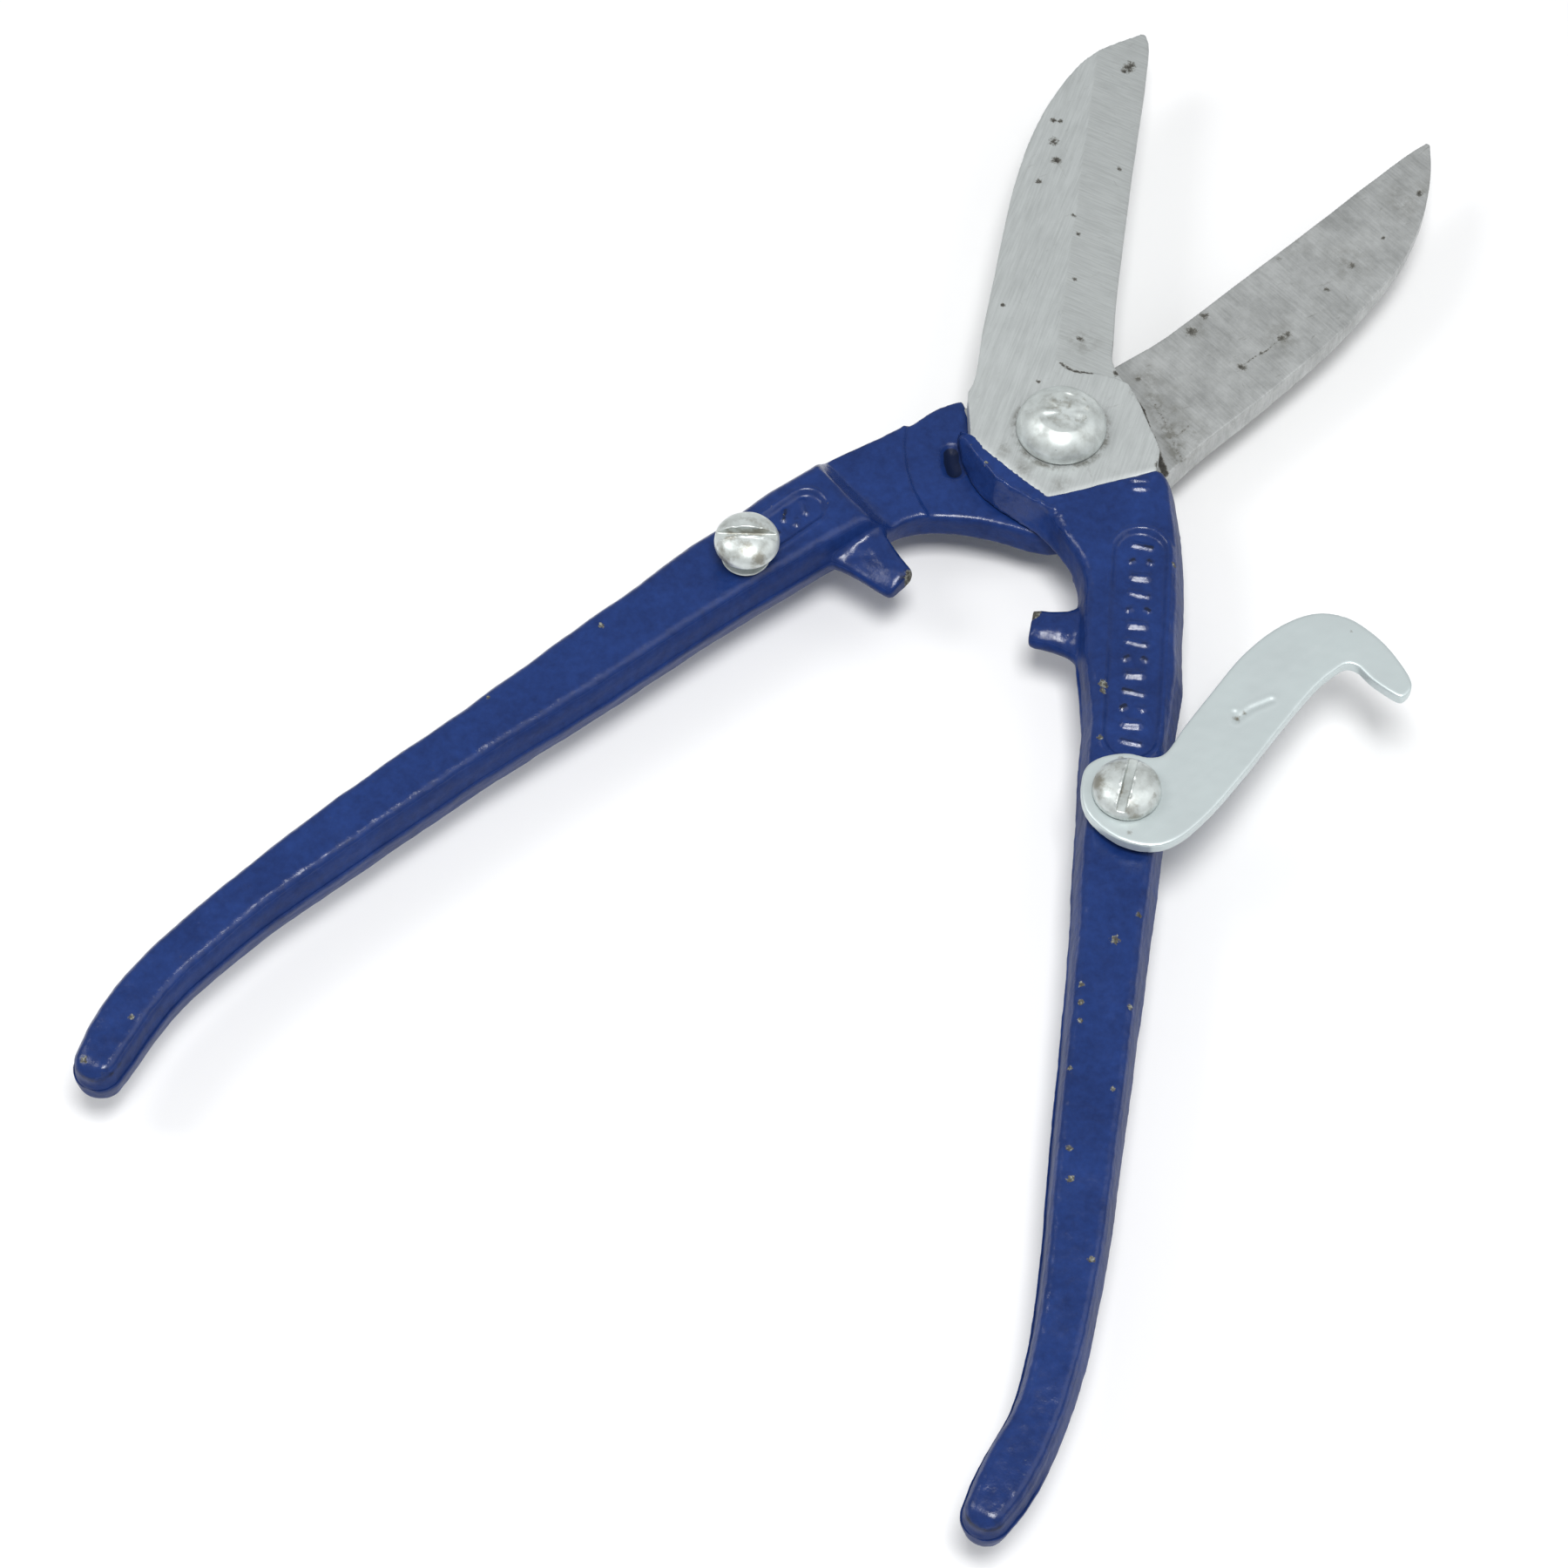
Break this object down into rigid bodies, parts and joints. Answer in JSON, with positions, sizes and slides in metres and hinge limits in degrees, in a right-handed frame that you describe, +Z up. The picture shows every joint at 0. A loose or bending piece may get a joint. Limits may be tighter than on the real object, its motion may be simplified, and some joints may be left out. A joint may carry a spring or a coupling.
{
  "type": "latching tin snips",
  "caption": "Straight sheet-metal hand snips with forged enamelled handles, one domed pivot bolt, bare ground blades, stop lugs and a swinging hook latch with its catch screw.",
  "frame": {"origin": "centre of the pivot bolt's threaded end, the lowest point of the tool", "axes": "+Z up the pivot axis towards the bolt's domed head, +Y along the tool towards the blade tips, +X towards the handle that carries the latch"},
  "size_m": [0.1707, 0.2825, 0.0291],
  "materials": {
    "blue_enamel": "thick glossy dark royal blue enamel over forged steel, chipped at the edges",
    "blade_steel": "bare ground tool steel with fine grinding marks and small pits",
    "zinc_plate": "bright zinc plate, slightly stained",
    "latch_zinc": "pale satin blue-white zinc plate on stamped plate"
  },
  "bodies": {
    "right_arm": {"right_handle": "blue_enamel", "front_blade": "blade_steel", "pivot_bolt": "zinc_plate", "pivot_washer": "zinc_plate", "pivot_nut": "zinc_plate", "latch_screw": "zinc_plate", "latch_washer": "zinc_plate"},
    "left_arm": {"left_handle": "blue_enamel", "back_blade": "blade_steel", "catch_screw": "zinc_plate", "catch_washer": "zinc_plate"},
    "latch": {"latch_hook": "latch_zinc"}
  },
  "joints": [
    {"name": "blade_pivot", "type": "hinge", "parent": "right_arm", "child": "left_arm", "pos_m": [0, 0, 0.0148], "axis": [0, 0, 1], "range_deg": [-10, 34.5]},
    {"name": "latch_swing", "type": "hinge", "parent": "right_arm", "child": "latch", "pos_m": [0.0436, -0.0631, 0.0236], "axis": [0, 0, -1], "range_deg": [-75, 241]}
  ]
}
